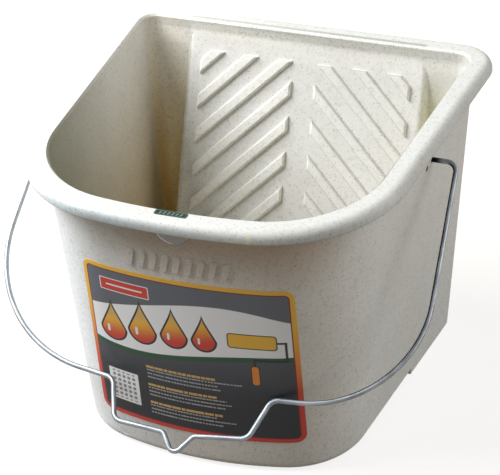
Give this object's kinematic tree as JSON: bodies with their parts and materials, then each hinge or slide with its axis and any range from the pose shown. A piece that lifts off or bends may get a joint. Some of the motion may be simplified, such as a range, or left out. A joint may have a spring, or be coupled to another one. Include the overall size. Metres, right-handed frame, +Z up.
{
  "type": "paint bucket",
  "caption": "Hand-held paint bucket with a bowed front, rolled rim, ribbed roll-off ramp, and a bent wire bail that swings over the top.",
  "frame": {"origin": "on the supporting surface, under the middle of the rim's width and depth", "axes": "+Z up; -Y towards the bowed front with the label; +X to the right of someone who faces the front"},
  "size_m": [0.3219, 0.3008, 0.2093],
  "materials": {
    "speckled_plastic": "satin",
    "wire_steel": "bright zinc",
    "magnet_ceramic": "matt",
    "cover_plastic": "satin",
    "label_print": "printed film",
    "sticker_print": "printed film"
  },
  "bodies": {
    "tub": {"bucket": "speckled_plastic", "magnet": "magnet_ceramic", "magnet_cover": "cover_plastic", "front_label": "label_print", "rim_sticker": "sticker_print"},
    "bail": {"bail": "wire_steel"}
  },
  "joints": [
    {"name": "bail_hinge", "type": "hinge", "parent": "tub", "child": "bail", "pos_m": [0, 0.035, 0.173], "axis": [-1, 0, 0], "range_deg": [0, 260.8]}
  ]
}
